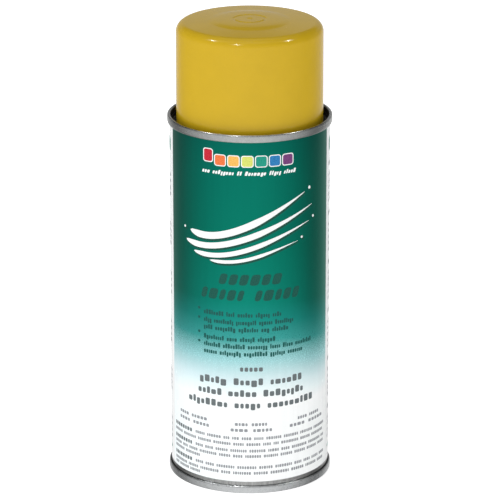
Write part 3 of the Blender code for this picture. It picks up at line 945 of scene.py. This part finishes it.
# Left end, right end, height of the line's foot
WEIGHT_LINES = (
    (-35.0, -18.8, 30.2), (-35.1, -17.8, 27.6), (-6.2, 7.2, 29.7), (-8.0, 9.3, 27.1),
    (21.4, 34.3, 30.2), (17.4, 37.4, 27.6),
)
SMALL_LEFT, AFTER_BOLD = -39.7, -24.8       # where small lines start, alone or after a bold start
SMALL_LINES = (
    (AFTER_BOLD, 39.4, 23.5), (SMALL_LEFT, 38.0, 20.9), (AFTER_BOLD, 39.4, 18.0), (SMALL_LEFT, 39.0, 15.6),
    (SMALL_LEFT, -22.5, 13.5), (AFTER_BOLD, 39.4, 10.6), (SMALL_LEFT, 38.5, 8.1), (SMALL_LEFT, -22.5, 6.2),
)
BOLD_STARTS = (23.3, 17.8, 10.4)            # heights
BOLD_RIGHT = -27.0


def front_label(inks):
    """The front panel: colour chips, a small slanted line, the sweeps, headings, dotted lines and text."""
    colour_row(inks["white"])
    small_line = line_of_blocks(11, -20.6, 19.4, 137.9, 1.25, slant=0.3, words=(3, 8, 2, 7, 5, 5))
    print_ink("small_line", small_line, inks["white"])
    print_ink("sweep_shadow", paint_sweeps((0.6, -0.7), 0.15), inks["shadow"], INK_RAISED * 0.5)
    print_ink("paint_sweeps", paint_sweeps(), inks["white"])

    headings = line_of_blocks(5, -13.3, 12.6, 91.1, 4.6, slant=0.28, words=(6,), tall=0.0)
    headings += line_of_blocks(8, -21.5, 20.8, 84.3, 4.6, slant=0.28, words=(5, 5), tall=0.0)
    print_ink("headings", headings, inks["forest"])

    lines = [dot(-22.5, height, 0.6) for height in DOTS]
    for i, (base, right) in enumerate(DOTTED_LINES):
        lines += line_of_blocks(20 + i, -20.0, right, base, 1.5)
    print_ink("dotted_lines", lines, inks["bottle"])
    white_part(inks)


def white_part(inks):
    """The lines on the panel's white lower part."""
    names = line_of_blocks(39, -4.0, 5.4, 53.7, 1.8, words=(5,), tall=0.0)
    for i, (base, right, words) in enumerate(NAME_LINES):
        names += line_of_blocks(40 + i, -right + 1.0, right, base, 2.1, words=words)
    print_ink("name_lines", names, inks["slate"])

    small = []
    for i, (left, right, base) in enumerate(WEIGHT_LINES):
        small += line_of_blocks(60 + i, left, right, base, 1.3, words=(4, 5), tall=0.0)
    for i, (left, right, base) in enumerate(SMALL_LINES):
        small += line_of_blocks(80 + i, left, right, base, 1.3, tall=0.0)
    print_ink("small_print", small, inks["grey"])
    bold = []
    for i, base in enumerate(BOLD_STARTS):
        bold += line_of_blocks(100 + i, SMALL_LEFT, BOLD_RIGHT, base, 1.6, words=(8,), tall=0.0)
    print_ink("bold_starts", bold, inks["slate"])


def back_label(inks):
    """Two columns on the white back, one each side of the weld, each between a wide and a narrow band."""
    near = PANEL_ARC + 4.0
    far = BACK - WELD_MARGIN - 4.0
    for name, left, right, seed in (("left", -far, -near, 300), ("right", near, far, 200)):
        bands = [block(left, right, 140.5, 146.0, corner=1.0, steps=3),
                 block(left, right, 10.0, 11.2, corner=0.5, steps=3)]
        print_ink(f"back_band_{name}", bands, inks["green"])
        heads, text = back_column(left, right, seed)
        print_ink(f"back_heads_{name}", heads, inks["slate"])
        print_ink(f"back_text_{name}", text, inks["grey"])


def back_column(left, right, seed):
    """Short headings with up to five lines of text under each, from below the upper band to the foot."""
    heads = []
    text = []
    base = 134.0
    while base > 16:
        heads += line_of_blocks(seed, left, left + 24, base, 1.8, words=(7, 5), tall=0.0)
        base -= 4.6
        for _ in range(5):
            if base < 14:
                break
            seed += 1
            short = 14 if seed % 5 == 0 else 0
            text += line_of_blocks(seed, left, right - short, base, 1.15)
            base -= 2.75
        base -= 3.0
    return heads, text


# Studio --------------------------------------------------------------------------------------

TARGET = Vector((0, 0, (cad_box[0].z + cad_box[1].z) / 2))
BRIGHT_SIDE = -38                       # azimuth of the brightest part of the sky
SKY_BACK_TO_FRONT = (0.13, 0.96)        # its level away from that side and towards it
SKY_TOP = 1.45                          # how many times brighter it is overhead than low down
# What shiny surfaces mirror: its level round the can, from away from MIRRORED_SIDE (-1) to towards it (1),
# and the share of that level seen up the sky, from the horizon (0) to the zenith (1).
MIRRORED_SIDE = -7
MIRRORED_ROUND = (
    (-1.0, 0.8), (-0.9, 0.62), (-0.75, 0.44), (-0.6, 0.26), (-0.3, 0.22), (0.0, 0.42), (0.5, 0.7),
    (1.0, 0.95),
)
MIRRORED_UP = ((0.0, 0.58), (0.34, 0.52), (0.38, 0.1), (0.72, 0.1), (0.86, 0.9), (1.0, 1.0))
FLOOR_GLOW = 0.62                       # the floor paper's own light
GLINTS = (("glint_left", -78.6, 50.7), ("glint_front", -22.4, 39.5), ("glint_right", 78.8, 47.7))

# The camera, in metres and degrees, placed so that the can's outline lies as it does in the photo
CAMERA_PLACE = (0.0001, -1.361, 0.543)
CAMERA_DOWN = 18.2
CAMERA_LENS = 247.7


def away(azimuth, elevation, distance):
    """A place seen from the can at an azimuth (0 in front, 90 at +X) and an elevation, in degrees."""
    a, e = math.radians(azimuth), math.radians(elevation)
    return TARGET + Vector((math.sin(a) * math.cos(e), -math.cos(a) * math.cos(e), math.sin(e))) * distance


def lamp(name, azimuth, elevation, distance, size, power, mirrored=False):
    """A rectangular lamp facing the can. It is either only mirrored in shiny surfaces or never mirrored."""
    data = bpy.data.lights.new(name, "AREA")
    data.shape = "RECTANGLE"
    data.size, data.size_y = size
    data.energy = power
    holder = add_object(name, data)
    holder.location = away(azimuth, elevation, distance)
    holder.rotation_mode = "QUATERNION"
    holder.rotation_quaternion = (TARGET - holder.location).to_track_quat("-Z", "Y")
    holder.visible_camera = False
    holder.visible_diffuse = not mirrored
    holder.visible_glossy = mirrored


def studio_world():
    """White behind everything for the camera. The light is a soft sky, brightest in front and to the left.
    What shiny surfaces mirror is bright in front and behind, darker at the sides, dark halfway up and
    bright overhead."""
    world = bpy.data.worlds.new("studio")
    bpy.context.scene.world = world
    world.use_nodes = True
    world.cycles.sampling_method = "NONE"
    nodes = Nodes(world.node_tree)
    way = nodes.node("TexCoord", {}).outputs["Generated"]
    up = nodes.parts(way)[2]

    def toward(azimuth):
        """1 towards the azimuth, -1 away from it."""
        side = away(azimuth, 0, 1) - TARGET
        flat = nodes.node("VectorMath", {0: way, 1: (1, 1, 0)}, operation="MULTIPLY").outputs[0]
        level = nodes.node("VectorMath", {0: flat}, operation="NORMALIZE").outputs[0]
        return nodes.node("VectorMath", {0: level, 1: side}, operation="DOT_PRODUCT").outputs["Value"]

    sky = nodes.between(toward(BRIGHT_SIDE), -1.0, 1.0, *SKY_BACK_TO_FRONT)
    sky = nodes.times(sky, nodes.between(up, 0.2, 1.0, 1.0, SKY_TOP))
    round_about = nodes.ramp(nodes.between(toward(MIRRORED_SIDE), -1.0, 1.0), [
        ((place + 1) / 2, (level, level, level, 1)) for place, level in MIRRORED_ROUND])
    share = nodes.ramp(up, [(place, (level, level, level, 1)) for place, level in MIRRORED_UP])
    share = nodes.mix(nodes.math("GREATER_THAN", up, 0.0), (1, 1, 1, 1), share)
    mirrored = nodes.mix(1.0, round_about, share, "MULTIPLY")
    path = nodes.node("LightPath", {}).outputs
    level = nodes.mix(path["Is Glossy Ray"], sky, mirrored)
    level = nodes.mix(path["Is Camera Ray"], level, (1, 1, 1, 1))
    nodes.feed(world.node_tree.nodes["Background"].inputs["Color"], level)


def studio_floor():
    """White paper, lit through from below so that it stays white round the can."""
    half_side = 6.0             # metres
    work = bmesh.new()
    bmesh.ops.create_grid(work, x_segments=1, y_segments=1, size=half_side)
    floor = object_from("floor", work)
    made = Finish("floor_paper")
    fibre = made.noise(0.05, 3.0, 0.5)
    made.set(
        base_color=made.mix(made.between(fibre, 0.3, 0.7), (0.93, 0.93, 0.93, 1), (0.95, 0.95, 0.95, 1)),
        roughness=0.9,
        specular_ior_level=0.1,
        emission_color=(1, 1, 1, 1),
        emission_strength=FLOOR_GLOW,
    )
    floor.data.materials.append(made.material)
    floor.visible_glossy = False


def photo_camera():
    """Above and in front of the can, looking down at it through a long lens."""
    data = bpy.data.cameras.new("camera")
    data.sensor_width = 36
    data.lens = CAMERA_LENS
    data.clip_start, data.clip_end = 0.05, 50
    camera = add_object("camera", data)
    camera.location = CAMERA_PLACE
    camera.rotation_euler = (math.radians(90 - CAMERA_DOWN), 0, 0)
    bpy.context.scene.camera = camera


def studio():
    studio_world()
    studio_floor()
    lamp("back_fill", azimuth=180, elevation=35, distance=1.8, size=(1.2, 0.8), power=3)
    for name, azimuth, elevation in GLINTS:
        lamp(name, azimuth, elevation, distance=1.4, size=(0.12, 0.06), power=4, mirrored=True)
    photo_camera()
    bpy.context.scene.view_settings.view_transform = "Standard"


# Putting it together -------------------------------------------------------------------------

def build_can():
    """The can's wall, ends and seals, with painted shade in the countersink between the top seam and the
    dome.
    """
    seam_top = max(z for r, z in outline_of("top_dome") if r > WALL)
    seam_inside = min(r for r, z in outline_of("top_dome") if z > seam_top - 0.6 and r > WALL - 2)
    countersink = (seam_inside - 3.2, seam_inside + 0.07)
    # The top end's tin is painted darker and the foot's lighter than the weld's: painted shade and painted
    # light on one tinplate.
    tin = tinplate_finish("bare_tinplate", srgb(206, 208, 204), srgb(184, 186, 184), 0.26)
    shaded_top_tin = tinplate_finish("shaded_top_tinplate", srgb(196, 198, 196), srgb(176, 178, 177), 0.24, countersink)
    lit_foot_tin = tinplate_finish("lit_foot_tinplate", srgb(214, 216, 217), srgb(198, 201, 202), 0.28)
    compound = rubber_finish("seaming_compound", srgb(96, 92, 84))
    can_wall(wall_finish())
    weld_seam(tin)
    can_ends(shaded_top_tin, lit_foot_tin, compound)


def build_valve():
    """The valve with its spray button. The dip tube keeps its CAD mesh."""
    cup_tin = tinplate_finish("cup_tinplate", srgb(206, 201, 182), srgb(176, 171, 150), 0.26)
    steel = tinplate_finish("spring_steel", srgb(205, 205, 202), srgb(170, 170, 168), 0.22)
    gasket = rubber_finish("gasket_rubber", srgb(52, 50, 50))
    nylon = plastic_finish("valve_plastic", srgb(232, 230, 220), 0.42, softness=0.1)
    button_white = plastic_finish("button_plastic", srgb(240, 240, 236), 0.38, softness=0.15)
    insert_cream = plastic_finish("insert_plastic", srgb(230, 226, 206), 0.36)
    tube = plastic_finish("tube_plastic", srgb(230, 233, 231), 0.34, softness=0.2)
    valve_cup(cup_tin)
    valve_seals(gasket)
    housing(nylon)
    stem(nylon)
    spring(steel)
    button(button_white, insert_cream)
    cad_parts["dip_tube"].material_slots[0].material = tube


def build_cap_and_balls():
    yellow = plastic_finish("overcap_plastic", srgb(206, 170, 30), 0.15, 0.008, gloss=0.3, mottling=0.025)
    glass = glass_finish("ball_glass", srgb(60, 96, 70))
    overcap(yellow)
    mixing_balls(glass)


def build_label():
    inks = {}
    for name, colour, unevenness in INKS:
        inks[name] = ink_finish(f"ink_{name}", srgb(*colour), unevenness)
    front_label(inks)
    back_label(inks)


build_can()
build_valve()
build_cap_and_balls()
build_label()
studio()
